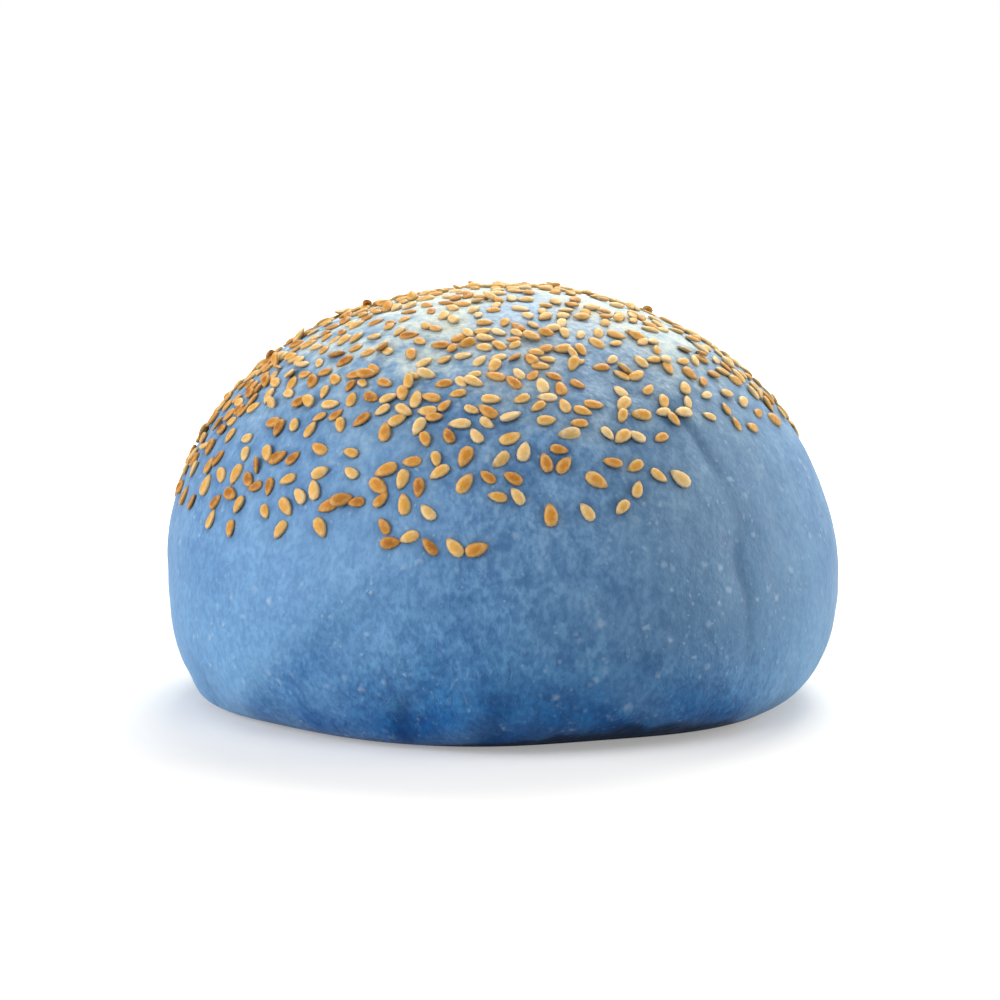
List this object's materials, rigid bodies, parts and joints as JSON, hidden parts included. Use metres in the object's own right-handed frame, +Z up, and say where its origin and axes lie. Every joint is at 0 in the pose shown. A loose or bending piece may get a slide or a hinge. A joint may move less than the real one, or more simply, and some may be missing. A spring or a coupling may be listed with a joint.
{
  "type": "bread roll",
  "caption": "Round soft bread roll with a flat foot, a blue crust and sesame seeds strewn over its domed top.",
  "frame": {"origin": "middle of the flat foot that the roll rests on", "axes": "+Z up through the crown, -Y towards the side shown in the picture, +X to its right"},
  "size_m": [0.1, 0.1005, 0.0615],
  "materials": {
    "crust": "soft blue bread crust, satin, slightly mottled",
    "sesame": "lightly toasted hulled sesame seed, satin"
  },
  "bodies": {
    "root": {"roll": "crust"}
  },
  "joints": []
}
